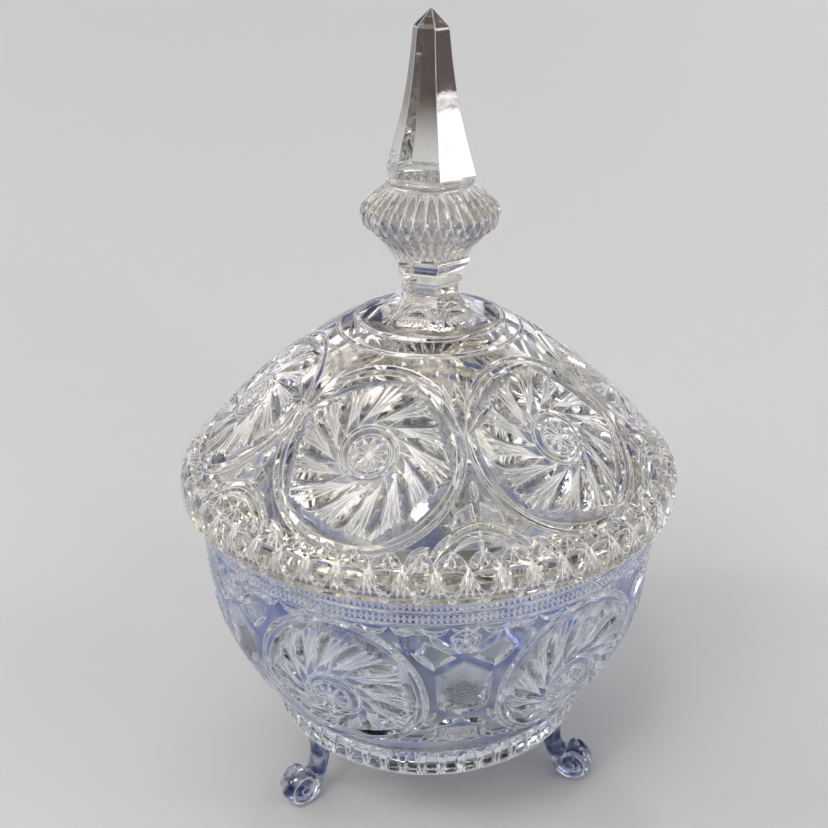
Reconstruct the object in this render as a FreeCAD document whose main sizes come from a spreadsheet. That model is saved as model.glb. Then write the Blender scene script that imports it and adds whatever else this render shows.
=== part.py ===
"""Covered powder jar in pressed lead crystal: a round bowl on three scroll feet, closed by a domed lid
with a steeple finial.

The jar stands on the XY plane with its axis on Z.  Everything repeats six times round the axis: the
hexagonal stem and spire have a corner towards -Y, and the feet stand under three of the six corners.
All lengths are millimetres and come from the sheet "Sizes".
"""
import math
import os

import FreeCAD
import Part
import Sketcher

# ---------------------------------------------------------------------------------------- driving sizes
SIZES = {
    # whole jar
    "seat_height": 97.0,          # bowl rim, where the lid rests
    "base_height": 23.0,          # underside of the bowl's foot ring
    # bowl
    "mouth_radius": 60.5,         # inside of the rim
    "mouth_taper": 1.6,           # how much narrower the inside is at the foot of its straight wall
    "bowl_radius": 65.3,          # outside, just under the rim
    "rim_corner": 1.0,            # height of the small slope round the rim's outer edge
    "belly_radius": 62.6,         # outside, where the wall starts to turn in
    "belly_height": 60.0,
    "upper_wall_arc": 220.0,
    "lower_wall_arc": 100.0,
    "ring_radius": 46.0,          # outside of the foot ring
    "ring_depth": 9.0,            # height of the foot ring's nearly upright collar
    "ring_flare": 0.9,            # how far that collar leans outwards
    "ring_inner_radius": 34.0,
    "underside_recess": 2.0,
    "floor_height": 31.0,         # inside floor of the bowl
    "floor_radius": 32.0,
    "hollow_height": 66.0,        # where the inner wall turns upright
    "hollow_arc": 44.0,
    "bowl_flutes": 54.0,
    "flute_depth": 0.9,
    "flute_girth": 2.9,           # greatest radius of the spindle that cuts a flute
    "flute_length": 15.6,
    "flute_centre_radius": 46.5,
    "flute_centre_height": 27.8,
    "flute_slope": 84.3,          # degrees from level
    # lid
    "lid_turn": 3.2,              # degrees that the lid sits turned from the bowl
    "lid_radius": 70.0,
    "lip_drop": 1.5,              # how far the lip hangs below the seat
    "lip_inner_radius": 66.2,
    "lip_height": 99.6,           # top of the lip's upright edge
    "shoulder_radius": 66.4,
    "shoulder_height": 104.0,
    "shoulder_arc": 6.5,
    "dome_arc": 150.0,
    "flare_radius": 19.5,         # foot of the hollow flare that rises to the stem
    "flare_height": 143.0,
    "flare_arc": 13.0,
    "boss_radius": 8.4,
    "boss_height": 149.5,
    "guide_radius": 59.8,         # outside of the guide ring that drops into the mouth
    "guide_thickness": 3.3,
    "guide_drop": 5.0,
    "cavity_height": 136.5,       # inside top of the dome
    "cavity_top_radius": 18.0,
    "cavity_crown_rise": 1.8,     # from that radius up to the cavity's middle
    "cavity_arc": 140.0,
    "cavity_edge_height": 101.5,
    "lid_teeth": 54.0,
    "tooth_depth": 1.6,
    "notch_height": 16.0,         # run of the cutter that makes the notches between teeth
    "notch_overcut": 0.6,         # how far the cutter reaches outside the lip
    # finial
    "neck_corner_radius": 8.4,    # hexagon sizes are centre to corner
    "neck_top": 154.0,
    "lower_collar_radius": 9.6,
    "lower_collar_top": 157.0,
    "upper_collar_radius": 11.0,
    "stem_top": 160.0,
    "knop_low_radius": 10.6,
    "knop_radius": 19.3,
    "knop_equator": 170.6,
    "knop_band": 3.6,             # half height of the rounded equator
    "knop_band_inset": 1.6,
    "knop_band_arc": 4.6,
    "knop_high_radius": 11.4,
    "knop_top": 181.0,
    "knop_flutes": 36.0,
    "knop_flute_girth": 1.7,
    "knop_flute_arc": 13.0,
    "knop_flute_pivot": 7.3,      # distance from the jar's axis to the line that a flute bends round
    "knop_flute_sweep": 130.0,    # degrees
    "spire_foot_radius": 12.6,
    "spire_low_height": 191.7,
    "spire_low_radius": 9.2,
    "spire_mid_height": 204.3,
    "spire_mid_radius": 6.5,
    "spire_shoulder_height": 217.8,
    "spire_shoulder_radius": 4.8,
    "spire_tip_radius": 0.35,
    "spire_top": 222.0,
    # feet
    "leg_radius_out": 40.2,       # distance of the leg's root from the jar's axis
    "leg_root_girth": 4.4,
    "leg_waist_girth": 3.1,
    "leg_waist_height": 14.0,
    "leg_heel_out": 42.0,
    "leg_heel_height": 7.0,
    "leg_heel_girth": 2.9,
    "leg_heel_tilt": -38.0,       # degrees
    "toe_out": 48.2,
    "toe_radius": 5.7,
    "toe_flat": 2.2,              # radius of the ground flat under the toe
    "toe_half_width": 4.2,        # from the toe's middle to each of its flat sides
    "instep_out": 45.2,
    "instep_height": 4.3,
    "instep_girth": 2.6,
    "instep_tilt": -72.0,         # degrees
}
SIDES = 6
FOOT_BEARINGS = {"foot_front_left": 210.0, "foot_front_right": 330.0, "foot_rear": 90.0}


class Size:
    """A length together with the expression that ties it to the sheet."""

    def __init__(self, value, text):
        self.value = value
        self.text = text

    def __add__(self, other):
        other = as_size(other)
        return Size(self.value + other.value, f"({self.text} + {other.text})")

    def __sub__(self, other):
        other = as_size(other)
        return Size(self.value - other.value, f"({self.text} - {other.text})")

    def __mul__(self, factor):
        return Size(self.value * factor, f"({self.text} * {factor})")


def as_size(thing):
    return thing if isinstance(thing, Size) else Size(float(thing), repr(float(thing)))


def size(alias):
    return Size(SIZES[alias], "Sizes." + alias)


def make_sheet(doc):
    sheet = doc.addObject("Spreadsheet::Sheet", "Sizes")
    for row, (alias, value) in enumerate(SIZES.items(), start=1):
        sheet.set(f"A{row}", alias.replace("_", " "))
        sheet.set(f"B{row}", repr(value))
        sheet.setAlias(f"B{row}", alias)
    doc.recompute()


# ---------------------------------------------------------------------------------------------- helpers
def origin_feature(body, role):
    return next(item for item in body.Origin.OriginFeatures if item.Role == role)


def new_body(doc, label):
    body = doc.addObject("PartDesign::Body", label)
    body.Label = label
    return body


def new_sketch(body, name, plane, rise=None):
    """A sketch on one of the body's own planes, lifted along that plane's normal by rise."""
    sketch = body.newObject("Sketcher::SketchObject", name)
    sketch.AttachmentSupport = [(origin_feature(body, plane), "")]
    sketch.MapMode = "FlatFace"
    if rise is not None:
        sketch.setExpression("AttachmentOffset.Base.z", rise.text)
    return sketch


def pin_point(sketch, name, geometry, end, across, up):
    """Holds one point of the sketch at the given distances from the sketch's origin."""
    for axis, amount, kind, letter in ((-2, across, "DistanceX", "x"), (-1, up, "DistanceY", "y")):
        amount = as_size(amount)
        if abs(amount.value) < 1e-9:
            sketch.addConstraint(Sketcher.Constraint("PointOnObject", geometry, end, axis))
            continue
        label = f"{name}_{letter}"
        index = sketch.addConstraint(Sketcher.Constraint(kind, -1, 1, geometry, end, amount.value))
        sketch.renameConstraint(index, label)
        sketch.setExpression("Constraints." + label, amount.text)


def hold_radius(sketch, name, geometry, radius):
    index = sketch.addConstraint(Sketcher.Constraint("Radius", geometry, radius.value))
    sketch.renameConstraint(index, name)
    sketch.setExpression("Constraints." + name, radius.text)


def arc_between(start, end, radius):
    """The shorter anticlockwise arc of the given radius from start to end."""
    way = end - start
    chord = way.Length
    sagitta = radius - math.sqrt(radius * radius - chord * chord / 4)
    right = FreeCAD.Vector(way.y, -way.x, 0) / chord
    return Part.Arc(start, (start + end) / 2 + right * sagitta, end)


def draw_outline(sketch, corners):
    """Closes a loop through corners, each (name, across, up) or (name, across, up, arc radius).  The radius
    shapes the stretch that leaves that corner: with a positive one the loop turns anticlockwise there, and
    with a negative one clockwise."""
    points = [FreeCAD.Vector(as_size(c[1]).value, as_size(c[2]).value, 0) for c in corners]
    count = len(corners)
    starts, ends = [], []
    for index, corner in enumerate(corners):
        start, end = points[index], points[(index + 1) % count]
        clockwise = len(corner) == 4 and corner[3].value < 0
        if len(corner) == 3:
            sketch.addGeometry(Part.LineSegment(start, end))
        elif clockwise:
            sketch.addGeometry(arc_between(end, start, -corner[3].value))
        else:
            sketch.addGeometry(arc_between(start, end, corner[3].value))
        starts.append(2 if clockwise else 1)
        ends.append(1 if clockwise else 2)
    for index, corner in enumerate(corners):
        following = (index + 1) % count
        sketch.addConstraint(
            Sketcher.Constraint("Coincident", index, ends[index], following, starts[following])
        )
        pin_point(sketch, corner[0], index, starts[index], corner[1], corner[2])
        if len(corner) == 4:
            reach = corner[3] if corner[3].value > 0 else corner[3] * -1.0
            hold_radius(sketch, corner[0] + "_arc", index, reach)


def revolve(body, name, sketch):
    feature = body.newObject("PartDesign::Revolution", name)
    feature.Profile = sketch
    feature.ReferenceAxis = (sketch, ["V_Axis"])
    feature.Angle = 360.0
    sketch.Visibility = False
    return feature


def repeat_round(doc, body, feature, count):
    """Repeats a cut round the jar's axis, and checks that every copy removed something."""
    doc.recompute()
    once = body.Shape.Volume
    before = feature.BaseFeature.Shape.Volume
    pattern = body.newObject("PartDesign::PolarPattern", feature.Name + "_ring")
    pattern.Originals = [feature]
    pattern.Axis = (origin_feature(body, "Z_Axis"), [""])
    pattern.Angle = 360.0
    pattern.setExpression("Occurrences", count.text)
    body.Tip = pattern
    doc.recompute()
    cut_once, cut_all = before - once, before - body.Shape.Volume
    if cut_once <= 0 or cut_all < 0.9 * cut_once * count.value:
        raise RuntimeError(f"{pattern.Name} removed {cut_all:.1f} mm3, and one copy removed {cut_once:.1f}")
    return pattern


def draw_hexagon(sketch, radius):
    """A regular hexagon round the sketch's origin with a corner on its -Y axis."""
    corners = []
    for side in range(SIDES):
        angle = math.radians(-90.0 + side * 360.0 / SIDES)
        across, up = round(math.cos(angle), 9), round(math.sin(angle), 9)
        corners.append((f"corner{side}", radius * across, radius * up))
    draw_outline(sketch, corners)


def hexagon_loft(body, name, sections):
    """Joins hexagons, each a (radius, height), bottom first."""
    sketches = []
    for index, (radius, height) in enumerate(sections):
        sketch = new_sketch(body, f"{name}_section{index}", "XY_Plane", height)
        draw_hexagon(sketch, radius)
        sketch.Visibility = False
        sketches.append(sketch)
    loft = body.newObject("PartDesign::AdditiveLoft", name)
    loft.Profile = sketches[0]
    loft.Sections = sketches[1:]
    return loft


# ------------------------------------------------------------------------------------------------- bowl
def make_bowl(doc):
    body = new_body(doc, "bowl")
    sketch = new_sketch(body, "bowl_section", "XZ_Plane")
    seat, base = size("seat_height"), size("base_height")
    recess_top = base + size("underside_recess")
    collar_top = size("ring_radius") + size("ring_flare")
    waist = size("mouth_radius") - size("mouth_taper")
    draw_outline(
        sketch,
        [
            ("recess_centre", 0, recess_top),
            ("recess_edge", size("ring_inner_radius") - size("underside_recess"), recess_top),
            ("ring_inside", size("ring_inner_radius"), base),
            ("ring_outside", size("ring_radius"), base),
            ("collar_top", collar_top, base + size("ring_depth"), size("lower_wall_arc")),
            ("belly", size("belly_radius"), size("belly_height"), size("upper_wall_arc")),
            ("rim_outside", size("bowl_radius"), seat - size("rim_corner")),
            ("rim_slope", size("bowl_radius") - size("rim_corner"), seat),
            ("rim_inside", size("mouth_radius"), seat),
            ("hollow", waist, size("hollow_height"), size("hollow_arc") * -1.0),
            ("floor_edge", size("floor_radius"), size("floor_height")),
            ("floor_centre", 0, size("floor_height")),
        ],
    )
    revolve(body, "bowl_shell", sketch)
    doc.recompute()
    cut_bowl_flutes(doc, body)
    return body


def cut_bowl_flutes(doc, body):
    """Spindle-shaped hollows side by side round the foot ring's collar."""
    sketch = new_sketch(body, "bowl_flute_section", "XZ_Plane")
    slope = math.radians(SIZES["flute_slope"])
    along = FreeCAD.Vector(math.cos(slope), math.sin(slope), 0)
    outward = FreeCAD.Vector(math.sin(slope), -math.cos(slope), 0)
    half = size("flute_length") * 0.5
    lift = size("flute_girth") - size("flute_depth")
    centre_out = size("flute_centre_radius") + lift * outward.x
    centre_up = size("flute_centre_height") + lift * outward.y
    low = (centre_out - half * along.x, centre_up - half * along.y)
    high = (centre_out + half * along.x, centre_up + half * along.y)
    girth, reach = SIZES["flute_girth"], SIZES["flute_length"] / 2
    bow = (reach * reach + girth * girth) / (2 * girth)
    start = FreeCAD.Vector(low[0].value, low[1].value, 0)
    end = FreeCAD.Vector(high[0].value, high[1].value, 0)
    sketch.addGeometry(Part.LineSegment(start, end))
    sketch.addGeometry(arc_between(end, start, bow))
    sketch.addConstraint(Sketcher.Constraint("Coincident", 0, 2, 1, 1))
    sketch.addConstraint(Sketcher.Constraint("Coincident", 1, 2, 0, 1))
    pin_point(sketch, "low", 0, 1, *low)
    pin_point(sketch, "high", 0, 2, *high)
    hold_radius(
        sketch,
        "bow",
        1,
        Size(bow, "(Sizes.flute_length ^ 2 / 4 + Sizes.flute_girth ^ 2) / (2 * Sizes.flute_girth)"),
    )
    axis = sketch.addGeometry(Part.LineSegment(start, end), True)
    sketch.addConstraint(Sketcher.Constraint("Coincident", axis, 1, 0, 1))
    sketch.addConstraint(Sketcher.Constraint("Coincident", axis, 2, 0, 2))
    groove = body.newObject("PartDesign::Groove", "bowl_flute")
    groove.Profile = sketch
    groove.ReferenceAxis = (sketch, ["Axis0"])
    groove.Angle = 360.0
    sketch.Visibility = False
    repeat_round(doc, body, groove, size("bowl_flutes"))


# -------------------------------------------------------------------------------------------------- lid
def make_lid(doc):
    body = new_body(doc, "lid_dome")
    sketch = new_sketch(body, "lid_section", "XZ_Plane")
    seat = size("seat_height")
    guide_inside = size("guide_radius") - size("guide_thickness")
    cavity_rim = size("cavity_height") - size("cavity_crown_rise")
    draw_outline(
        sketch,
        [
            ("boss_centre", 0, size("boss_height")),
            ("cavity_centre", 0, size("cavity_height")),
            ("cavity_top", size("cavity_top_radius"), cavity_rim, size("cavity_arc") * -1.0),
            ("cavity_edge", guide_inside, size("cavity_edge_height")),
            ("guide_inside", guide_inside, seat - size("guide_drop")),
            ("guide_outside", size("guide_radius"), seat - size("guide_drop")),
            ("seat_inside", size("guide_radius"), seat),
            ("seat_outside", size("lip_inner_radius"), seat),
            ("lip_inside", size("lip_inner_radius"), seat - size("lip_drop")),
            ("lip_outside", size("lid_radius"), seat - size("lip_drop")),
            ("lip_top", size("lid_radius"), size("lip_height"), size("shoulder_arc")),
            ("shoulder", size("shoulder_radius"), size("shoulder_height"), size("dome_arc")),
            ("flare_foot", size("flare_radius"), size("flare_height"), size("flare_arc") * -1.0),
            ("boss_edge", size("boss_radius"), size("boss_height")),
        ],
    )
    revolve(body, "lid_shell", sketch)
    doc.recompute()
    cut_lid_teeth(doc, body)
    return body


def cut_lid_teeth(doc, body):
    """V notches that leave a row of pointed teeth round the lip."""
    sketch = new_sketch(body, "lid_notch_outline", "XY_Plane", size("lip_height") - size("notch_height") * 0.5)
    half_pitch = math.pi / SIZES["lid_teeth"]
    outer = size("lid_radius") + size("notch_overcut")
    root = size("lid_radius") - size("tooth_depth")
    width = outer * round(math.tan(half_pitch), 9)
    draw_outline(sketch, [("root", root, 0), ("left", outer, width), ("right", outer, width * -1.0)])
    notch = body.newObject("PartDesign::Pocket", "lid_notch")
    notch.Profile = sketch
    notch.setExpression("Length", size("notch_height").text)
    notch.Reversed = True
    sketch.Visibility = False
    repeat_round(doc, body, notch, size("lid_teeth"))


# ----------------------------------------------------------------------------------------------- finial
def make_stem(doc):
    """Hexagonal neck with two collars that step out under the knop."""
    body = new_body(doc, "finial_stem")
    steps = [
        ("neck", "neck_corner_radius", size("boss_height"), size("neck_top")),
        ("lower_collar", "lower_collar_radius", size("neck_top"), size("lower_collar_top")),
        ("upper_collar", "upper_collar_radius", size("lower_collar_top"), size("stem_top")),
    ]
    for name, radius, bottom, top in steps:
        sketch = new_sketch(body, name + "_outline", "XY_Plane", bottom)
        draw_hexagon(sketch, size(radius))
        pad = body.newObject("PartDesign::Pad", name)
        pad.Profile = sketch
        pad.setExpression("Length", (top - bottom).text)
        sketch.Visibility = False
    return body


def make_knop(doc):
    body = new_body(doc, "finial_knop")
    sketch = new_sketch(body, "knop_section", "XZ_Plane")
    band_radius = size("knop_radius") - size("knop_band_inset")
    draw_outline(
        sketch,
        [
            ("foot_centre", 0, size("stem_top")),
            ("foot_edge", size("knop_low_radius"), size("stem_top")),
            ("band_low", band_radius, size("knop_equator") - size("knop_band"), size("knop_band_arc")),
            ("band_high", band_radius, size("knop_equator") + size("knop_band")),
            ("head_edge", size("knop_high_radius"), size("knop_top")),
            ("head_centre", 0, size("knop_top")),
        ],
    )
    revolve(body, "knop_core", sketch)
    doc.recompute()
    cut_knop_flutes(doc, body)
    return body


def cut_knop_flutes(doc, body):
    """Each flute is a ring of round section that bends over the equator and runs out at both ends."""
    sketch = new_sketch(body, "knop_flute_section", "XY_Plane", size("knop_equator"))
    pivot, girth = size("knop_flute_pivot"), size("knop_flute_girth")
    centre = pivot + size("knop_flute_arc")
    circle = sketch.addGeometry(
        Part.Circle(FreeCAD.Vector(centre.value, 0, 0), FreeCAD.Vector(0, 0, 1), girth.value)
    )
    pin_point(sketch, "flute", circle, 3, centre, 0)
    hold_radius(sketch, "girth", circle, girth)
    low = FreeCAD.Vector(pivot.value, -girth.value, 0)
    high = FreeCAD.Vector(pivot.value, girth.value, 0)
    axis = sketch.addGeometry(Part.LineSegment(low, high), True)
    pin_point(sketch, "pivot_low", axis, 1, pivot, girth * -1.0)
    pin_point(sketch, "pivot_high", axis, 2, pivot, girth)
    groove = body.newObject("PartDesign::Groove", "knop_flute")
    groove.Profile = sketch
    groove.ReferenceAxis = (sketch, ["Axis0"])
    groove.setExpression("Angle", size("knop_flute_sweep").text)
    groove.Midplane = True
    sketch.Visibility = False
    repeat_round(doc, body, groove, size("knop_flutes"))


def make_spire(doc):
    body = new_body(doc, "finial_spire")
    hexagon_loft(
        body,
        "spire_shaft",
        [
            (size("spire_foot_radius"), size("knop_top")),
            (size("spire_low_radius"), size("spire_low_height")),
            (size("spire_mid_radius"), size("spire_mid_height")),
            (size("spire_shoulder_radius"), size("spire_shoulder_height")),
        ],
    )
    hexagon_loft(
        body,
        "spire_point",
        [
            (size("spire_shoulder_radius"), size("spire_shoulder_height")),
            (size("spire_tip_radius"), size("spire_top")),
        ],
    )
    return body


# ------------------------------------------------------------------------------------------------- feet
def leg_section(body, name, out, up, girth, tilt):
    """A round section of the leg in the XZ plane's line, turned about Y by tilt."""
    sketch = new_sketch(body, name, "XY_Plane")
    sketch.AttachmentOffset = FreeCAD.Placement(
        FreeCAD.Vector(out.value, 0, up.value), FreeCAD.Rotation(FreeCAD.Vector(0, 1, 0), tilt.value)
    )
    sketch.setExpression("AttachmentOffset.Base.x", out.text)
    sketch.setExpression("AttachmentOffset.Base.z", up.text)
    sketch.setExpression("AttachmentOffset.Rotation.Angle", tilt.text)
    circle = sketch.addGeometry(Part.Circle(FreeCAD.Vector(), FreeCAD.Vector(0, 0, 1), girth.value))
    sketch.addConstraint(Sketcher.Constraint("Coincident", circle, 3, -1, 1))
    hold_radius(sketch, "girth", circle, girth)
    sketch.Visibility = False
    return sketch


def flatten_toe(body, name, side):
    """Takes one side of the ball-shaped toe off level, all the way up."""
    sketch = new_sketch(body, name + "_outline", "XY_Plane")
    low, high = size("toe_out") - size("toe_radius"), size("toe_out") + size("toe_radius")
    inner, outer = size("toe_half_width") * side, size("toe_radius") * side
    draw_outline(
        sketch,
        [("low_in", low, inner), ("high_in", high, inner), ("high_out", high, outer), ("low_out", low, outer)],
    )
    pocket = body.newObject("PartDesign::Pocket", name)
    pocket.Profile = sketch
    pocket.setExpression("Length", (size("toe_radius") * 2.0).text)
    pocket.Reversed = True
    sketch.Visibility = False


def make_foot(doc, label, bearing):
    """A leg that curls out into a thick disc of a toe, built along +X and turned to its bearing."""
    body = new_body(doc, label)
    sections = [
        leg_section(body, label + "_root", size("leg_radius_out"), size("base_height"),
                    size("leg_root_girth"), as_size(0.0)),
        leg_section(body, label + "_waist", size("leg_radius_out"), size("leg_waist_height"),
                    size("leg_waist_girth"), as_size(0.0)),
        leg_section(body, label + "_heel", size("leg_heel_out"), size("leg_heel_height"),
                    size("leg_heel_girth"), size("leg_heel_tilt")),
        leg_section(body, label + "_instep", size("instep_out"), size("instep_height"),
                    size("instep_girth"), size("instep_tilt")),
    ]
    leg = body.newObject("PartDesign::AdditiveLoft", label + "_leg")
    leg.Profile = sections[0]
    leg.Sections = sections[1:]
    doc.recompute()
    sketch = new_sketch(body, label + "_toe_section", "XZ_Plane")
    sketch.setExpression("AttachmentOffset.Base.x", size("toe_out").text)
    radius, flat = SIZES["toe_radius"], SIZES["toe_flat"]
    crown = radius + math.sqrt(radius * radius - flat * flat)
    crown_text = "(Sizes.toe_radius + sqrt(Sizes.toe_radius ^ 2 - Sizes.toe_flat ^ 2))"
    sketch.addGeometry(Part.LineSegment(FreeCAD.Vector(0, 0, 0), FreeCAD.Vector(flat, 0, 0)))
    middle = FreeCAD.Vector(radius, crown - radius, 0)
    sketch.addGeometry(Part.Arc(FreeCAD.Vector(flat, 0, 0), middle, FreeCAD.Vector(0, crown, 0)))
    sketch.addGeometry(Part.LineSegment(FreeCAD.Vector(0, crown, 0), FreeCAD.Vector(0, 0, 0)))
    sketch.addConstraint(Sketcher.Constraint("Coincident", 0, 2, 1, 1))
    sketch.addConstraint(Sketcher.Constraint("Coincident", 1, 2, 2, 1))
    sketch.addConstraint(Sketcher.Constraint("Coincident", 2, 2, 0, 1))
    sketch.addConstraint(Sketcher.Constraint("Coincident", 0, 1, -1, 1))
    pin_point(sketch, "flat_edge", 0, 2, size("toe_flat"), 0)
    pin_point(sketch, "crown", 2, 1, 0, Size(crown, crown_text))
    hold_radius(sketch, "toe", 1, size("toe_radius"))
    revolve(body, label + "_toe", sketch)
    for name, side in (("left", 1.0), ("right", -1.0)):
        flatten_toe(body, f"{label}_toe_{name}", side)
    body.Placement = FreeCAD.Placement(
        FreeCAD.Vector(), FreeCAD.Rotation(FreeCAD.Vector(0, 0, 1), bearing)
    )
    return body


# ------------------------------------------------------------------------------------------------ build
def turn_lid(pieces):
    """The lid was set down a few degrees off the bowl, so its pieces turn together round the axis."""
    for body in pieces:
        body.Placement = FreeCAD.Placement(
            FreeCAD.Vector(), FreeCAD.Rotation(FreeCAD.Vector(0, 0, 1), SIZES["lid_turn"])
        )
        body.setExpression("Placement.Rotation.Angle", size("lid_turn").text)


def check_and_write(doc, bodies):
    doc.recompute()
    for item in doc.Objects:
        if "Invalid" in item.State or "Error" in item.State:
            raise RuntimeError(f"{item.Name} failed: {item.State}")
    os.makedirs("parts", exist_ok=True)
    for body in bodies:
        shape = body.Shape
        if shape.isNull() or not shape.isValid() or len(shape.Solids) != 1:
            raise RuntimeError(f"{body.Label} isn't one valid solid")
        shape.exportStep(f"parts/{body.Label}.step")
        print(f"{body.Label}: {shape.Volume / 1000:.2f} cm3, {len(shape.Faces)} faces")


def main():
    doc = FreeCAD.newDocument("powder_jar")
    make_sheet(doc)
    bowl = make_bowl(doc)
    feet = [make_foot(doc, label, bearing) for label, bearing in FOOT_BEARINGS.items()]
    lid_pieces = [make_lid(doc), make_stem(doc), make_knop(doc), make_spire(doc)]
    turn_lid(lid_pieces)
    check_and_write(doc, [bowl, *feet, *lid_pieces])


main()
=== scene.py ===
"""Covered powder jar in pressed lead crystal, with the cut pattern worked into the glass itself."""
import math

import bmesh
import bpy
import numpy as np
from mathutils import Matrix, Vector
from mathutils.geometry import delaunay_2d_cdt


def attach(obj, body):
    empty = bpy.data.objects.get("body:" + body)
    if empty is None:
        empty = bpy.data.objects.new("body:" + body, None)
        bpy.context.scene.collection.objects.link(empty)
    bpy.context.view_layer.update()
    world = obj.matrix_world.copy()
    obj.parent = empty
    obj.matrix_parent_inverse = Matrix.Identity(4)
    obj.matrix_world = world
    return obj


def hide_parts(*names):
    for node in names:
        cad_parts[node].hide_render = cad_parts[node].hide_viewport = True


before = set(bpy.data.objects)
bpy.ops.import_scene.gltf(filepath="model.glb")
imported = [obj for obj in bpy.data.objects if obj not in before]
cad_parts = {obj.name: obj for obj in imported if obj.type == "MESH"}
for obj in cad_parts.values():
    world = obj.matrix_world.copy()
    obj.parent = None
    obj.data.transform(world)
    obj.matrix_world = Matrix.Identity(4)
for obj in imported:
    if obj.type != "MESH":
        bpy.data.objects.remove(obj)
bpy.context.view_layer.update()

MM = 0.001

# ---------------- sizes, in mm
SECTORS = 6                        # the pattern repeats six times round the jar
HALF_SECTOR = math.pi / SECTORS
SECTOR = 2 * HALF_SECTOR
AROUND = 216                       # points round a plain turned ring
TEETH = 54
TOOTH_PITCH = SECTOR * SECTORS / TEETH
LID_TURN = math.radians(3.2)       # the lid sits turned this much from the bowl

BASE = 23.0                        # underside of the bowl's foot ring
BOWL_FLOOR = 31.0
RING_TOP = 33.6
GUIDE_FOOT = 92.0                  # the ring under the lid that keeps it on the bowl
LIP_FOOT = 95.5
SEAT = 97.0                        # where the lid rests
LIP_TOP = 99.6
LIP_RADIUS = 69.9
FLARE_FOOT = 142.8                 # from here up the lid turns from round to six-sided
BOSS_TOP = 149.5
STEM_TOP = 160.0
KNOP_TOP = 181.0
SPIRE_TOP = 222.0
OVERLAP = 0.25                     # how far pieces of one glass reach into each other
PLAIN = 0.3                        # the depth of cut that plain turned surfaces are shaded as

# ---------------- tolerances, in radians of the flat map, or in mm
TINY = 1e-6
SLACK = 1e-7
GRAIN = 2e-5                       # the corners of cuts are moved to a grid this fine
SLIVER = 1e-10                     # facets with a smaller area than half this are dropped
SHORTEST_CREASE = 2e-4


# ---------------- outlines and walls
def arc(start, end, radius, count):
    """Points from start to end on an arc.  It turns left along the way when radius is positive."""
    start, end = np.array(start, float), np.array(end, float)
    way = end - start
    chord = np.hypot(*way)
    right = np.array([way[1], -way[0]]) / chord
    rise = math.sqrt(radius * radius - chord * chord / 4)
    centre = (start + end) / 2 - right * math.copysign(rise, radius)
    first = math.atan2(*(start - centre)[::-1])
    sweep = 2 * math.asin(chord / 2 / abs(radius)) * math.copysign(1, radius)
    angles = first + sweep * np.linspace(0, 1, count + 1)[1:]
    return [(centre[0] + abs(radius) * math.cos(a), centre[1] + abs(radius) * math.sin(a)) for a in angles]


def line(start, end, count):
    """Evenly spaced points after start, up to end."""
    steps = np.linspace(0, 1, count + 1)[1:]
    return [tuple(np.array(start) + (np.array(end) - np.array(start)) * t) for t in steps]


def outline(start, *stretches):
    """Points from start through stretches of (end, radius of the arc to it or None for a line, count)."""
    points = [start]
    corner = start
    for end, radius, count in stretches:
        points += arc(corner, end, radius, count) if radius else line(corner, end, count)
        corner = end
    return points


class Wall:
    """The outside of a turned wall.  Its points are (azimuth, rise), where rise is chosen so that shapes
    drawn on that flat map keep their angles on the wall."""

    def __init__(self, points):
        self.r, self.z = np.array(points, float).T
        step = np.hypot(np.diff(self.r), np.diff(self.z))
        self.s = np.concatenate([[0], np.cumsum(step)])
        middle = (self.r[1:] + self.r[:-1]) / 2
        self.rise = np.concatenate([[0], np.cumsum(step / middle)])
        dr, dz = np.gradient(self.r, self.s), np.gradient(self.z, self.s)
        self.slope = np.array([dr, dz]) / np.hypot(dr, dz)
        self.drawn_in = None

    def at_height(self, z):
        """How far along the outline, in mm, the wall reaches height z."""
        return float(np.interp(z, self.z, self.s))

    def read(self, at, scale):
        """Radius, height and direction of the outline at places measured on scale, which is s or rise."""
        return [np.interp(at, scale, row) for row in (self.r, self.z, *self.slope)]

    def unrolled(self, points):
        """Points of the flat map from (azimuth, mm along the outline)."""
        return np.stack([points[:, 0], np.interp(points[:, 1], self.s, self.rise)], 1)

    def surface(self, points, lift):
        """The points of the flat map, lifted off the wall, as x, y, z in mm.  Azimuth 0 is towards -Y."""
        azimuth = points[:, 0]
        r, z, dr, dz = self.read(points[:, 1], self.rise)
        r, z = r + lift * dz, z - lift * dr
        if self.drawn_in:
            r = r - self.drawn_in(azimuth, z)
        return np.stack([r * np.sin(azimuth), -r * np.cos(azimuth), z], 1)

    def patch(self, azimuth, along):
        """A flat drawing board, in mm, that touches the wall at one point.  Returns what turns a drawing on
        it into points of the flat map."""
        r0, z0, dr, dz = self.read(along, self.s)

        def place(drawing):
            across, up = np.asarray(drawing, float).T
            out = r0 + dr * up
            radius, height = np.hypot(out, across), z0 + dz * up
            gap = (self.r[None] - radius[:, None]) ** 2 + (self.z[None] - height[:, None]) ** 2
            near = np.clip(gap.argmin(1), 1, len(self.s) - 2)
            ends = []
            for low in (near - 1, near):
                a = np.stack([self.r[low], self.z[low]], 1)
                b = np.stack([self.r[low + 1], self.z[low + 1]], 1)
                point = np.stack([radius, height], 1)
                share = np.clip(((point - a) * (b - a)).sum(1) / ((b - a) ** 2).sum(1), 0, 1)
                miss = np.hypot(*(a + (b - a) * share[:, None] - point).T)
                ends.append((miss, self.rise[low] + (self.rise[low + 1] - self.rise[low]) * share))
            rise = np.where(ends[0][0] < ends[1][0], ends[0][1], ends[1][1])
            return np.stack([azimuth + np.arctan2(across, out), rise], 1)

        return place


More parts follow.
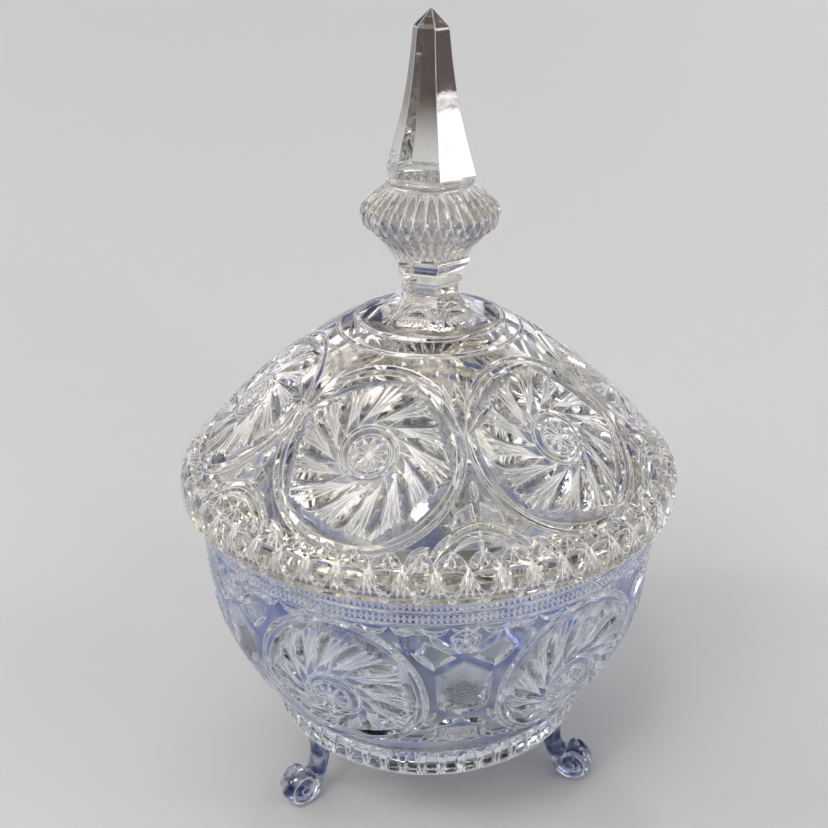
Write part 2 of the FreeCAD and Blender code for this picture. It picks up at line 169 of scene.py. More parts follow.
# ---------------- cut glass
class Pattern:
    """The cuts in one sector of a wall.  Every cut is a set of flat facets, kept as triangles with a depth
    at each corner, and where cuts cross the deeper one wins, as it does under a cutter's wheel."""

    def __init__(self, wall):
        self.wall = wall
        self.corners, self.depths, self.lines = [], [], []

    def groove(self, place, path, widths, slope=0.6, lean=0.0, closed=False, sunk=0.0):
        """A V cut along path.  widths are half widths; lean moves its valley towards the left or right, and
        sunk is the depth of the floor that it is cut into."""
        path = np.asarray(path, float)
        widths = np.broadcast_to(np.asarray(widths, float), len(path))
        if closed:
            ahead = np.roll(path, -1, 0) - np.roll(path, 1, 0)
        else:
            ahead = np.gradient(path, axis=0)
        ahead = ahead / np.hypot(*ahead.T)[:, None]
        left = np.stack([-ahead[:, 1], ahead[:, 0]], 1)
        rows = [
            place(path + left * (widths * (1 - lean))[:, None]),
            place(path),
            place(path - left * (widths * (1 + lean))[:, None]),
        ]
        deep = -widths * slope - sunk
        count = len(path) if closed else len(path) - 1
        for i in range(count):
            j = (i + 1) % len(path)
            valley = (rows[1][i], rows[1][j])
            self.lines.append(valley)
            for side in (rows[0], rows[2]):
                self.lines.append((side[i], side[j]))
                if widths[j] > TINY:
                    self.facet((valley[0], valley[1], side[j]), (deep[i], deep[j], -sunk))
                if widths[i] > TINY:
                    self.facet((valley[0], side[j], side[i]), (deep[i], -sunk, -sunk))

    def facet(self, corners, depths):
        self.corners.append(corners)
        self.depths.append(depths)

    def leaf(self, place, start, end, width, bow=0.0, slope=0.6, steps=5, full=0.5, lean=0.0):
        """A pointed cut from start to end, bowed to its left, fullest at the given share of its length."""
        start, end = np.array(start, float), np.array(end, float)
        share = np.linspace(0, 1, steps + 1)
        way = end - start
        left = np.array([-way[1], way[0]]) / np.hypot(*way)
        path = start + way * share[:, None] + left * (4 * bow * share * (1 - share))[:, None]
        skew = share ** (math.log(0.5) / math.log(full))
        self.groove(place, path, width * 4 * skew * (1 - skew), slope, lean)

    def ring(self, place, centre, radius, width, slope=0.6, steps=36):
        """A round V cut."""
        angles = np.arange(steps) * math.tau / steps
        path = np.array(centre) + radius * np.stack([np.cos(angles), np.sin(angles)], 1)
        self.groove(place, path, width, slope, closed=True)

    def round_band(self, z, width, slope=0.8, steps=12):
        """A V cut that runs right round the wall at one height."""
        azimuths = np.linspace(-HALF_SECTOR, HALF_SECTOR, steps + 1)
        path = np.stack([azimuths, np.full(steps + 1, self.wall.at_height(z))], 1)
        self.groove(self.wall.unrolled, path, width, slope)

    def finish(self):
        """Adds the neighbouring sectors' cuts, so that both edges of this one match."""
        corners, depths = np.array(self.corners), np.array(self.depths)
        lines = np.array(self.lines)
        turn = np.array([SECTOR, 0.0])
        corners = np.concatenate([corners, corners - turn, corners + turn])
        depths = np.concatenate([depths] * 3)
        lines = np.concatenate([lines, lines - turn, lines + turn])
        reach = HALF_SECTOR + TINY
        keep = (corners[:, :, 0].min(1) < reach) & (corners[:, :, 0].max(1) > -reach)
        double = cross(corners[:, 1] - corners[:, 0], corners[:, 2] - corners[:, 0])
        keep &= np.abs(double) > SLIVER
        corners, depths = corners[keep], depths[keep]
        # each facet's depth as a plane over the flat map
        frames = np.concatenate([corners, np.ones((len(corners), 3, 1))], 2)
        self.planes = np.linalg.solve(frames, depths[:, :, None])[:, :, 0]
        self.corners, self.depths, self.lines = corners, depths, lines

    def lift(self, points):
        """How far below the wall each point of the flat map lies, as a negative number."""
        lowest = np.zeros(len(points))
        a, b, c = self.corners[:, 0], self.corners[:, 1], self.corners[:, 2]
        turn = np.sign(cross(b - a, c - a))
        low, high = self.corners.min(1) - SLACK, self.corners.max(1) + SLACK
        for index in range(len(a)):
            near = np.flatnonzero(
                (points[:, 0] >= low[index, 0]) & (points[:, 0] <= high[index, 0])
                & (points[:, 1] >= low[index, 1]) & (points[:, 1] <= high[index, 1])
            )
            if not len(near):
                continue
            spots = points[near]
            inside = np.ones(len(near), bool)
            for first, second in ((a, b), (b, c), (c, a)):
                edge = second[index] - first[index]
                side = cross(edge, spots - first[index]) * turn[index]
                inside &= side >= -SLACK * np.hypot(*edge)
            spots, near = spots[inside], near[inside]
            depth = spots @ self.planes[index, :2] + self.planes[index, 2]
            lowest[near] = np.minimum(lowest[near], depth)
        return lowest

    def creases(self):
        """The lines along which facets of crossing cuts meet."""
        low, high = self.corners.min(1), self.corners.max(1)
        found = []
        count = len(self.corners)
        for index in range(count - 1):
            rest = slice(index + 1, count)
            near = np.flatnonzero(
                (low[rest, 0] < high[index, 0]) & (high[rest, 0] > low[index, 0])
                & (low[rest, 1] < high[index, 1]) & (high[rest, 1] > low[index, 1])
            ) + index + 1
            if len(near):
                found.append(np.stack([np.full(len(near), index), near], 1))
        pairs = np.concatenate(found)
        first, second = self.corners[pairs[:, 0]], self.corners[pairs[:, 1]]
        plane = self.planes[pairs[:, 0]] - self.planes[pairs[:, 1]]
        value = (first * plane[:, None, :2]).sum(2) + plane[:, None, 2]
        crossing = (value.min(1) < -TINY) & (value.max(1) > TINY)
        first, second, value, pairs = first[crossing], second[crossing], value[crossing], pairs[crossing]
        # the line of equal depth enters and leaves the first facet through two of its sides
        hits = np.full((len(first), 3, 2), np.nan)
        for side in range(3):
            other = (side + 1) % 3
            v0, v1 = value[:, side], value[:, other]
            cuts = (v0 < 0) != (v1 < 0)
            share = np.where(cuts, v0 / np.where(cuts, v0 - v1, 1), np.nan)
            hits[:, side] = first[:, side] + (first[:, other] - first[:, side]) * share[:, None]
        order = np.argsort(np.isnan(hits[:, :, 0]), axis=1, kind="stable")
        start = np.take_along_axis(hits, order[:, :1, None], 1)[:, 0]
        end = np.take_along_axis(hits, order[:, 1:2, None], 1)[:, 0]
        turn = np.sign(cross(second[:, 1] - second[:, 0], second[:, 2] - second[:, 0]))
        sides = []
        for side in range(3):
            a, b = second[:, side], second[:, (side + 1) % 3]
            sides.append((cross(b - a, start - a) * turn, cross(b - a, end - a) * turn))
        enter, leave = clip(start, end, sides)
        long_enough = (leave - enter) * np.hypot(*(end - start).T) > SHORTEST_CREASE
        found = between(start, end, enter, leave)[long_enough]
        middle = found.mean(1)
        plane = self.planes[pairs[long_enough, 0]]
        depth = (middle * plane[:, :2]).sum(1) + plane[:, 2]
        near_top = 1e-4
        return found[depth < self.lift(middle) + near_top]


def cross(a, b):
    return a[..., 0] * b[..., 1] - a[..., 1] * b[..., 0]


def clip(start, end, sides):
    """Where lines from start to end enter and leave a convex figure, as shares of their length.  Each of its
    sides gives how far inside it the starts and the ends lie."""
    enter, leave = np.zeros(len(start)), np.ones(len(start))
    for g0, g1 in sides:
        share = np.where(g0 != g1, g0 / np.where(g0 != g1, g0 - g1, 1), 0)
        enter = np.where((g0 < 0) & (g1 >= 0), np.maximum(enter, share), enter)
        leave = np.where((g0 >= 0) & (g1 < 0), np.minimum(leave, share), leave)
        leave = np.where((g0 < 0) & (g1 < 0), -1, leave)
    return enter, leave


def between(start, end, enter, leave):
    """The stretch of each line between two shares of its length."""
    way = end - start
    return np.stack([start + way * enter[:, None], start + way * leave[:, None]], 1)


def clip_to_box(lines, low, high):
    """The parts of the lines inside a rectangle."""
    start, end = lines[:, 0], lines[:, 1]
    sides = [*zip((start - low).T, (end - low).T), *zip((high - start).T, (high - end).T)]
    enter, leave = clip(start, end, sides)
    return between(start, end, enter, leave)[leave - enter > 1e-9]


def snap_to_box(points, low, high, reach):
    """Moves points that are nearly on a side of the box onto it."""
    for axis in range(2):
        for edge in (low[axis], high[axis]):
            close = np.abs(points[..., axis] - edge) < reach
            points[..., axis] = np.where(close, edge, points[..., axis])


def lattice(wall, spacing):
    """Loose rows of points that carry the wall's curve between the cuts."""
    points = []
    rows = max(2, round(wall.s[-1] / spacing))
    for row in range(rows + 1):
        s = wall.s[-1] * row / rows
        rise, r = np.interp(s, wall.s, wall.rise), np.interp(s, wall.s, wall.r)
        columns = max(2, round(SECTOR * r / spacing))
        if row in (0, rows):
            columns = AROUND // SECTORS
        shift = 0.5 if row % 2 and row != rows else 0.0
        for column in range(columns + (0 if shift else 1)):
            points.append((-HALF_SECTOR + (column + shift) * SECTOR / columns, rise))
        points += [(-HALF_SECTOR, rise), (HALF_SECTOR, rise)]
    return points


def sector_mesh(wall, pattern, spacing):
    """One cut sector on the flat map: its points, its triangles, which points are on its left and its right
    edge from the bottom up, and how far below the wall each point lies."""
    pattern.finish()
    low, high = np.array([-HALF_SECTOR, 0.0]), np.array([HALF_SECTOR, wall.rise[-1]])
    lines = clip_to_box(np.concatenate([pattern.lines, pattern.creases()]), low, high)
    lines = np.round(lines / GRAIN) * GRAIN
    snap_to_box(lines, low, high, GRAIN)
    # both upright edges get points at the same heights, so that neighbouring sectors meet
    ends = lines.reshape(-1, 2)
    on_edge = (ends[:, 0] == low[0]) | (ends[:, 0] == high[0])
    shared = np.unique(ends[on_edge, 1])
    shared = shared[np.concatenate([[True], np.diff(shared) > 3 * GRAIN])]
    ends[on_edge, 1] = shared[np.abs(shared[None] - ends[on_edge, 1][:, None]).argmin(1)]
    points = list(map(tuple, ends))
    points += [(edge, rise) for edge in (low[0], high[0]) for rise in shared]
    points += lattice(wall, spacing)
    steps = np.round(np.array(points) / SLACK).astype(np.int64)
    unique, index = np.unique(steps, axis=0, return_inverse=True)
    edges = index.reshape(-1)[: 2 * len(lines)].reshape(-1, 2)
    edges = np.unique(np.sort(edges[edges[:, 0] != edges[:, 1]], axis=1), axis=0)
    verts = [Vector(p) for p in unique * SLACK]
    out = delaunay_2d_cdt(verts, edges.tolist(), [], 0, TINY, False)
    spots, faces = np.array([tuple(v) for v in out[0]], float), out[2]
    snap_to_box(spots, low, high, 2 * TINY)
    left, right = (np.flatnonzero(spots[:, 0] == edge) for edge in (low[0], high[0]))
    left, right = left[spots[left, 1].argsort()], right[spots[right, 1].argsort()]
    spots[right, 1] = spots[left, 1]
    return spots, faces, (left, right), pattern.lift(spots)


# ---------------- solids from walls
def turned(radius, z, count=AROUND):
    """A ring of points.  radius is a number or one value for each azimuth."""
    azimuths = np.arange(count) * math.tau / count
    radius = np.broadcast_to(radius, count)
    return np.stack([radius * np.sin(azimuths), -radius * np.cos(azimuths), np.full(count, z)], 1)


class Solid:
    """A closed glass body put together from a cut wall and turned rings."""

    def __init__(self):
        self.mesh = bmesh.new()
        self.fused = self.mesh.faces.layers.float.new("fused")
        self.cut = self.mesh.verts.layers.float.new("cut")
        self.plain = 0.0

    def add_points(self, points):
        """New vertices, each with plain as the depth of the cut that it lies in."""
        verts = [self.mesh.verts.new(p * MM) for p in points]
        for vert in verts:
            vert[self.cut] = self.plain
        return verts

    def cut_wall(self, wall, pattern, spacing=2.6):
        spots, faces, (left, right), lift = sector_mesh(wall, pattern, spacing)
        lift[right] = lift[left]
        seam = first_seam = None
        for sector in range(SECTORS):
            turn = np.array([(2 * sector + 1) * HALF_SECTOR, 0.0])
            places = wall.surface(spots + turn, lift)
            verts = dict(zip(left, seam or self.add_points(places[left])))
            first_seam = first_seam or [verts[i] for i in left]
            last = sector == SECTORS - 1
            verts.update(zip(right, first_seam if last else self.add_points(places[right])))
            rest = [i for i in range(len(spots)) if i not in verts]
            verts.update(zip(rest, self.add_points(places[rest])))
            for i, vert in verts.items():
                vert[self.cut] = -lift[i]
            seam = [verts[i] for i in right]
            for a, b, c in faces:
                self.mesh.faces.new((verts[a], verts[b], verts[c]))
        return self.open_loops()

    def open_loops(self):
        """The open edges as closed loops of points, lowest first."""
        ahead = {}
        for edge in self.mesh.edges:
            if len(edge.link_loops) == 1:
                loop = edge.link_loops[0]
                ahead[loop.link_loop_next.vert] = loop.vert
        loops = []
        while ahead:
            vert = next(iter(ahead))
            loop = []
            while vert in ahead:
                loop.append(vert)
                vert = ahead.pop(vert)
            loops.append(loop)
        return sorted(loops, key=lambda loop: sum(v.co.z for v in loop) / len(loop))

    def rings(self, start, rows, fused=False, in_order=False):
        """Goes on from a loop through rings of points, the last of which may be a single point.  A fused
        end is hidden where two pieces became one glass, so light passes it unbent.  Rings are joined
        azimuth by azimuth, or point by point if they are in order."""
        for points in rows:
            ring = self.add_points(points)
            if len(ring) == 1:
                for i, vert in enumerate(start):
                    face = self.mesh.faces.new((vert, start[(i + 1) % len(start)], ring[0]))
                    face[self.fused] = float(fused)
            elif in_order:
                self.band(start, ring)
            else:
                self.bridge(start, ring)
            start = ring

    def band(self, first, second):
        """Joins two rings whose points face each other one to one."""
        for i in range(len(first)):
            j = (i + 1) % len(first)
            self.mesh.faces.new((first[i], first[j], second[j], second[i]))

    def bridge(self, first, second):
        """Joins two rings, whose points may be spaced differently, azimuth by azimuth."""
        def sorted_ring(ring):
            azimuth = [math.atan2(v.co.x, -v.co.y) % math.tau for v in ring]
            order = sorted(range(len(ring)), key=azimuth.__getitem__)
            return [ring[i] for i in order], [azimuth[i] for i in order]

        a, angle_a = sorted_ring(first)
        b, angle_b = sorted_ring(second)
        if len(a) == len(b):
            self.band(a, b)
            return
        i = j = 0
        while i < len(a) or j < len(b):
            next_a = angle_a[i + 1] if i + 1 < len(a) else angle_a[0] + math.tau
            next_b = angle_b[j + 1] if j + 1 < len(b) else angle_b[0] + math.tau
            if j >= len(b) or (i < len(a) and next_a <= next_b):
                self.mesh.faces.new((a[i], a[(i + 1) % len(a)], b[j % len(b)]))
                i += 1
            else:
                self.mesh.faces.new((a[i % len(a)], b[(j + 1) % len(b)], b[j]))
                j += 1

    def piece(self, name, material, turn=0.0, sharp=14.0):
        """Closes the work and makes it an object, with facets crisp and curves smooth."""
        if turn:
            bmesh.ops.rotate(
                self.mesh, verts=self.mesh.verts[:], cent=(0, 0, 0), matrix=rotation_z(turn)
            )
        bmesh.ops.recalc_face_normals(self.mesh, faces=self.mesh.faces[:])
        limit = math.radians(sharp)
        for face in self.mesh.faces:
            face.smooth = True
        for edge in self.mesh.edges:
            edge.smooth = len(edge.link_faces) == 2 and edge.calc_face_angle(0) < limit
        data = bpy.data.meshes.new(name)
        self.mesh.to_mesh(data)
        self.mesh.free()
        data.materials.append(material)
        piece = bpy.data.objects.new(name, data)
        bpy.context.scene.collection.objects.link(piece)
        return piece


def rotation_z(angle):
    return Matrix.Rotation(angle, 3, "Z")


def hexagon(radius, count=AROUND):
    """Radii of a regular hexagon round the ring, with a corner towards -Y."""
    off_corner = (np.arange(count) / count * SECTORS) % 1.0
    return radius * math.cos(HALF_SECTOR) / np.cos((off_corner - 0.5) * SECTOR)


# ---------------- the motifs
def polar(radius, degrees, centre=(0.0, 0.0)):
    angle = math.radians(degrees)
    return centre[0] + radius * math.cos(angle), centre[1] + radius * math.sin(angle)


def spokes(pattern, place, centre, radius, count, width):
    """A star of narrow cuts that meet at its middle."""
    for spoke in range(count):
        tip = polar(radius, 90 + spoke * 360 / count, centre)
        pattern.leaf(place, centre, tip, width, slope=0.9, steps=3, full=0.6)


def pinwheel(pattern, place, radius, eye, eye_radius, star, star_radius, first_crescent):
    """A round medallion: bent leaves that whirl round an off-centre star, inside five crescents."""
    pattern.ring(place, (0, 0), radius - 0.9, 0.8, slope=0.9, steps=60)
    rim = radius - 1.9
    spread = 44
    bulge = rim - 2.3 - rim * math.cos(math.radians(spread))
    for crescent in range(5):
        middle = first_crescent + crescent * 72
        start, end = polar(rim, middle - spread), polar(rim, middle + spread)
        pattern.leaf(place, start, end, 2.1, bow=-bulge, slope=0.75, steps=9, lean=-0.55)
    reach = radius - 4.6
    blades = 13
    for blade in range(blades):
        angle = 90 + blade * 360 / blades
        root, tip = polar(eye_radius - 0.6, angle + 38, eye), polar(reach, angle)
        pattern.leaf(place, root, tip, 0.082 * radius, bow=1.3, slope=1.0, steps=6, full=0.62)
        for ray in (-0.32, -0.1, 0.12, 0.34):
            fan_root = polar(eye_radius + 1.6 + 2.0 * ray, angle + 20 - 20 * ray, eye)
            fan_tip = polar(reach + 0.7, angle - (0.5 + ray) * 360 / blades)
            pattern.leaf(place, fan_root, fan_tip, 0.55, slope=1.1, steps=3, full=0.72)
    pattern.ring(place, eye, eye_radius - 0.4, 0.55, slope=0.9, steps=32)
    pattern.ring(place, star, star_radius, 0.5, slope=1.0, steps=28)
    spokes(pattern, place, star, star_radius - 0.3, 10, 0.6)


def leaves(pattern, place, side, rows):
    """Leaves on one side of a motif.  Each row is (start, end, half width, bow, slope, steps)."""
    for (x0, y0), (x1, y1), width, bow, slope, steps in rows:
        start, end = (side * x0, y0), (side * x1, y1)
        pattern.leaf(place, start, end, width, bow=side * bow, slope=slope, steps=steps)


def pan(pattern, place, outline, floor, depth):
    """A flat-bottomed cut with sloping sides between two convex figures with the same number of corners."""
    middle = place([np.mean(floor, 0)])[0]
    outer, floor = place(outline), place(floor)
    for i in range(len(outline)):
        j = (i + 1) % len(outline)
        pattern.facet((middle, floor[i], floor[j]), (-depth, -depth, -depth))
        pattern.facet((floor[i], outer[i], outer[j]), (-depth, 0.0, 0.0))
        pattern.facet((floor[i], outer[j], floor[j]), (-depth, 0.0, -depth))
        pattern.lines += [(outer[i], outer[j]), (floor[i], floor[j]), (outer[i], floor[i])]


def shrunk(outline, amount):
    """The same figure with its corners nearer to its middle."""
    outline = np.asarray(outline, float)
    middle = outline.mean(0)
    spans = np.hypot(*(outline - middle).T)
    return middle + (outline - middle) * (1 - amount / spans)[:, None]


def mirrored(half):
    """A closed figure from its right half."""
    return half + [(-x, y) for x, y in reversed(half) if abs(x) > TINY]


def polygon_cut(pattern, place, centre, radius, sides, width, turn=90.0):
    """A V cut round a straight-sided figure."""
    for side in range(sides):
        start = polar(radius, turn + side * 360 / sides, centre)
        end = polar(radius, turn + (side + 1) * 360 / sides, centre)
        pattern.groove(place, [start, end], width, slope=0.7)


def bead_field(pattern, place, centre, radius, pitch, sunk):
    """Three sets of fine crossing cuts that leave a six-sided field of tiny beads."""
    flat = radius * math.cos(math.pi / 6)
    lines = int(flat / pitch)
    for way in (30, 90, 150):
        for index in range(-lines, lines + 1):
            offset = index * pitch
            half = radius - abs(offset) / math.tan(math.pi / 3)
            base = polar(offset, way + 90, centre)
            start, end = polar(-half, way, base), polar(half, way, base)
            pattern.groove(place, [start, end], pitch * 0.36, slope=1.0, sunk=sunk)


def zipper(pattern, low, high, count, width):
    """Short upright cuts side by side between two heights, which leave a row of beads."""
    wall = pattern.wall
    middle = (wall.at_height(low) + wall.at_height(high)) / 2
    half = (wall.at_height(high) - wall.at_height(low)) / 2
    for index in range(count):
        place = wall.patch(-HALF_SECTOR + SECTOR * index / count, middle)
        pattern.leaf(place, (0, -half), (0, half), width, slope=0.8, steps=2)


def teeth(wall, along):
    """Two drawing boards for each tooth of a sector: one between the teeth, and one on the tooth."""
    for tooth in range(TEETH // SECTORS):
        azimuth = -HALF_SECTOR + tooth * TOOTH_PITCH
        yield wall.patch(azimuth, along), wall.patch(azimuth + TOOTH_PITCH / 2, along)


# ---------------- lid
LID_OUTLINE = outline(
    (LIP_RADIUS, LIP_FOOT),
    ((LIP_RADIUS, LIP_TOP), None, 4),
    ((66.4, 104.0), 6.5, 8),
    ((19.5, 143.0), 150.0, 60),
    ((8.4, BOSS_TOP), -13.0, 16),
)


def lid_teeth(pattern):
    """Clear scallops round the lip, and between each two an upright pointed prism."""
    wall = pattern.wall
    scallop = mirrored([(0.7, -3.4), (1.9, -2.3), (2.7, -0.4), (3.2, 1.6), (3.2, 2.8), (1.6, 3.5)])
    for window, prism in teeth(wall, wall.at_height(LIP_TOP) + 1.0):
        pan(pattern, window, scallop, shrunk(scallop, 1.0), 0.7)
        pattern.leaf(window, (0, -5.6), (0, -2.6), 1.3, slope=0.8, steps=3)
        for side in (-1, 1):
            pattern.leaf(prism, (side * 2.9, -3.6), (0, 4.6), 0.55, slope=1.1, steps=2, full=0.4)
            pattern.leaf(prism, (side * 0.9, -3.6), (side * 0.2, 1.8), 0.45, slope=1.1, steps=2, full=0.4)
            pattern.leaf(prism, (0, 4.4), (side * 4.1, 8.6), 1.1, bow=-side * 0.3, slope=0.9, steps=3)
        pattern.leaf(window, (0, 4.2), (0, 7.4), 1.0, slope=0.9, steps=3)


def lid_gap(pattern):
    """What fills the space between two medallions of the lid."""
    wall = pattern.wall
    place = wall.patch(HALF_SECTOR, wall.at_height(104.2))
    for span, bow, width in ((12.6, 8.2, 0.9), (9.6, 5.6, 0.6)):
        pattern.leaf(place, (-span, 0.4), (span, 0.4), width, bow=bow, steps=10, slope=0.9)
    pattern.leaf(place, (0, 1.0), (0, 8.2), 0.5, slope=0.8, steps=2)
    for side in (-1, 1):
        kite = [(side * x, y) for x, y in ((0.6, 10.4), (6.4, 8.6), (5.4, 12.2), (1.0, 14.6))]
        pan(pattern, place, kite, shrunk(kite, 0.9), 0.7)
        leaves(pattern, place, side, [
            ((7.0, 7.6), (12.8, 2.6), 1.2, -0.6, 0.8, 4),
            ((12.4, 5.0), (19.0, 1.2), 1.0, 0.8, 0.8, 4),
        ])
        leaves(pattern, place, side, [
            ((13.0, 4.2), (13.6 + 2.0 * ray, -0.8), 0.55, 0.0, 1.0, 2) for ray in range(4)
        ])
    pattern.leaf(place, (0, 14.6), (0, 20.0), 1.0, slope=0.8, steps=3)
    crown = wall.patch(HALF_SECTOR, wall.at_height(127.0))
    root = (0, -1.0)
    rays = [(90, 16.0, 2.0), (64, 16.0, 1.7), (116, 16.0, 1.7), (44, 15.0, 1.3), (136, 15.0, 1.3)]
    for ray, length, width in rays:
        pattern.leaf(crown, root, polar(length, ray, root), width, slope=0.8, steps=4, full=0.42)
    for side in (-1, 1):
        for ray in (78, 52, 34):
            across, up = polar(15.4, ray)
            pattern.leaf(crown, (side * 1.6, 3.0), (side * across, up), 0.5, slope=1.0, steps=3, full=0.7)


def lid_crown(pattern):
    """The plain band round the top, and an arch with beads on each face of the flare."""
    wall = pattern.wall
    pattern.round_band(140.0, 0.7)
    pattern.round_band(142.7, 0.6)
    arch = wall.patch(0.0, wall.at_height(145.3))
    for shrink in (1.0, 0.62):
        arm = ((7.4 * shrink, -2.7), (0, 5.2 * shrink - 0.6), 0.6, -1.6, 0.9, 4)
        for side in (-1, 1):
            leaves(pattern, arch, side, [arm])
    for ray in range(-3, 4):
        pattern.leaf(arch, (ray * 1.5, -2.5), (ray * 0.8, 0.2), 0.55, slope=1.0, steps=2)


def lid_flare(azimuth, z):
    """How far the flare's wall is drawn in, so that it turns from round to six-sided as it rises."""
    off_corner = (azimuth / SECTOR) % 1.0
    ratio = 1 - math.cos(HALF_SECTOR) / np.cos((off_corner - 0.5) * SECTOR)
    blend = np.clip((z - FLARE_FOOT) / (BOSS_TOP - FLARE_FOOT), 0, 1)
    return np.interp(z, [FLARE_FOOT, BOSS_TOP], [19.0, 8.4]) * ratio * blend ** 0.5


def make_lid(material):
    """The dome with its pattern, its hollow, and the guide ring inside the lip."""
    wall = Wall(LID_OUTLINE)
    wall.drawn_in = lid_flare
    pattern = Pattern(wall)
    place = wall.patch(0.0, wall.at_height(122.9))
    pinwheel(pattern, place, 26.0, (0.6, 0.5), 7.6, (1.0, 0.2), 5.0, first_crescent=252)
    lid_teeth(pattern)
    lid_gap(pattern)
    lid_crown(pattern)
    solid = Solid()
    lip, boss = solid.cut_wall(wall, pattern)
    solid.plain = PLAIN
    boss_end = BOSS_TOP + OVERLAP
    solid.rings(boss, [turned(hexagon(8.0), boss_end), [np.array([0, 0, boss_end])]], fused=True)
    lip_in = 66.2
    guide_out = 59.8
    guide_in = 56.5
    chamfer = 0.4
    guide_low = GUIDE_FOOT + chamfer
    cavity_foot = 101.5
    cavity_top = 136.5
    inside = [(lip_in, LIP_FOOT), (lip_in, SEAT), (guide_out + 0.3, SEAT), (guide_out, SEAT - 0.3)]
    inside += [(guide_out, guide_low), (guide_out - chamfer, GUIDE_FOOT)]
    inside += [(guide_in + chamfer, GUIDE_FOOT), (guide_in, guide_low), (guide_in, SEAT)]
    inside += outline(
        (guide_in, cavity_foot), ((18.0, 134.7), 140.0, 24), ((0.01, cavity_top), 95.0, 6)
    )[:-1]
    rings = [turned(r + wobble(z), z) for r, z in inside]
    solid.rings(lip, rings + [[np.array([0, 0, cavity_top])]])
    return solid.piece("lid_dome_crystal", material, LID_TURN)


def wobble(z):
    """The slight unevenness of a pressed glass surface, round the ring at height z."""
    azimuths = np.arange(AROUND) * math.tau / AROUND
    wave = np.sin(3 * azimuths + z * 0.11) + 0.7 * np.sin(7 * azimuths - z * 0.23)
    return 0.035 * wave * (math.sin(z * 0.37) + 1.2)


# ---------------- bowl
BOWL_OUTLINE = outline(
    (45.4, BASE),
    ((46.4, 24.2), None, 2),
    ((46.9, 32.0), None, 4),
    ((48.6, RING_TOP), None, 2),
    ((62.6, 60.0), 92.0, 30),
    ((65.3, 96.0), 220.0, 36),
)


def bowl_base(pattern):
    """Tall hollow flutes round the foot ring, with a slim fan of cuts between each two."""
    wall = pattern.wall
    hollow = mirrored([(1.5, -4.3), (2.0, -2.6), (2.1, -0.4), (1.7, 2.0), (0.9, 3.8), (0.0, 4.4)])
    for flute, fan in teeth(wall, wall.at_height(28.0)):
        pan(pattern, flute, hollow, shrunk(hollow, 0.9), 0.7)
        for side in (-1, 1):
            leaves(pattern, fan, side, [((0, -4.4), (1.8, 4.6), 0.5, -0.5, 1.1, 3)])
    pattern.round_band(33.5, 0.6)
    pattern.round_band(35.2, 0.45)


def bowl_gap(pattern):
    """A hexagonal hollow with a beaded floor, kites over it and a comb of fine lines below."""
    wall = pattern.wall
    place = wall.patch(HALF_SECTOR, wall.at_height(60.5))
    hexagon_rim = [(0.0, 15.6), (7.4, 10.6), (6.0, -1.4), (0.0, -5.4), (-6.0, -1.4), (-7.4, 10.6)]
    middle, depth = (0.0, 2.6), 1.2
    bead_floor = [polar(4.9, 90 - corner * 60, middle) for corner in range(6)]
    pan(pattern, place, hexagon_rim, bead_floor, depth)
    bead_field(pattern, place, middle, 4.6, 1.05, depth)
    for side in (-1, 1):
        kite = [(side * x, y) for x, y in ((2.2, 16.0), (8.0, 12.6), (12.6, 17.4), (10.6, 21.2))]
        pan(pattern, place, kite, shrunk(kite, 1.2), 0.8)
        leaves(pattern, place, side, [
            ((1.0, 17.4), (9.6, 23.6), 1.3, -0.8, 0.8, 4),
            ((10.0, 23.8), (17.6, 25.0), 0.9, 0.0, 0.8, 3),
            ((7.6, 12.0), (14.0, 17.6), 0.9, 0.4, 0.9, 3),
            ((6.6, -3.2), (9.6, -10.4), 1.2, 0.5, 0.9, 3),
            ((0, -6.2), (7.0, -11.4), 1.5, 0.5, 0.8, 4),
            ((6.6, -12.0), (11.0, -22.4), 1.5, -0.8, 0.8, 4),
            ((12.4, -21.0), (19.5, -25.4), 1.1, 0.6, 0.8, 4),
        ])
    crest = (0, 21.2)
    polygon_cut(pattern, place, crest, 3.6, 5, 0.6)
    spokes(pattern, place, crest, 2.9, 5, 0.5)
    comb = [(-4.4, -11.4), (4.4, -11.4), (6.6, -21.6), (-6.6, -21.6)]
    comb_depth = 0.5
    pan(pattern, place, comb, shrunk(comb, 1.0), comb_depth)
    for tine in range(-4, 5):
        top, foot = (tine * 0.95, -12.6), (tine * 1.3, -21.0)
        pattern.groove(place, [top, foot], 0.3, slope=1.2, sunk=comb_depth)


def bowl_bands(pattern):
    """Beads and little arches under the rim."""
    wall = pattern.wall
    for z in (86.4, 90.0, 93.6):
        pattern.round_band(z, 0.55)
    for low in (87.1, 90.7):
        zipper(pattern, low, low + 2.2, 45, 0.6)
    arches = 9
    for index in range(arches):
        place = wall.patch(-HALF_SECTOR + SECTOR * index / arches, wall.at_height(84.6))
        pattern.leaf(place, (-3.6, 0.9), (3.6, 0.9), 0.8, bow=-1.7, steps=4, slope=0.8)


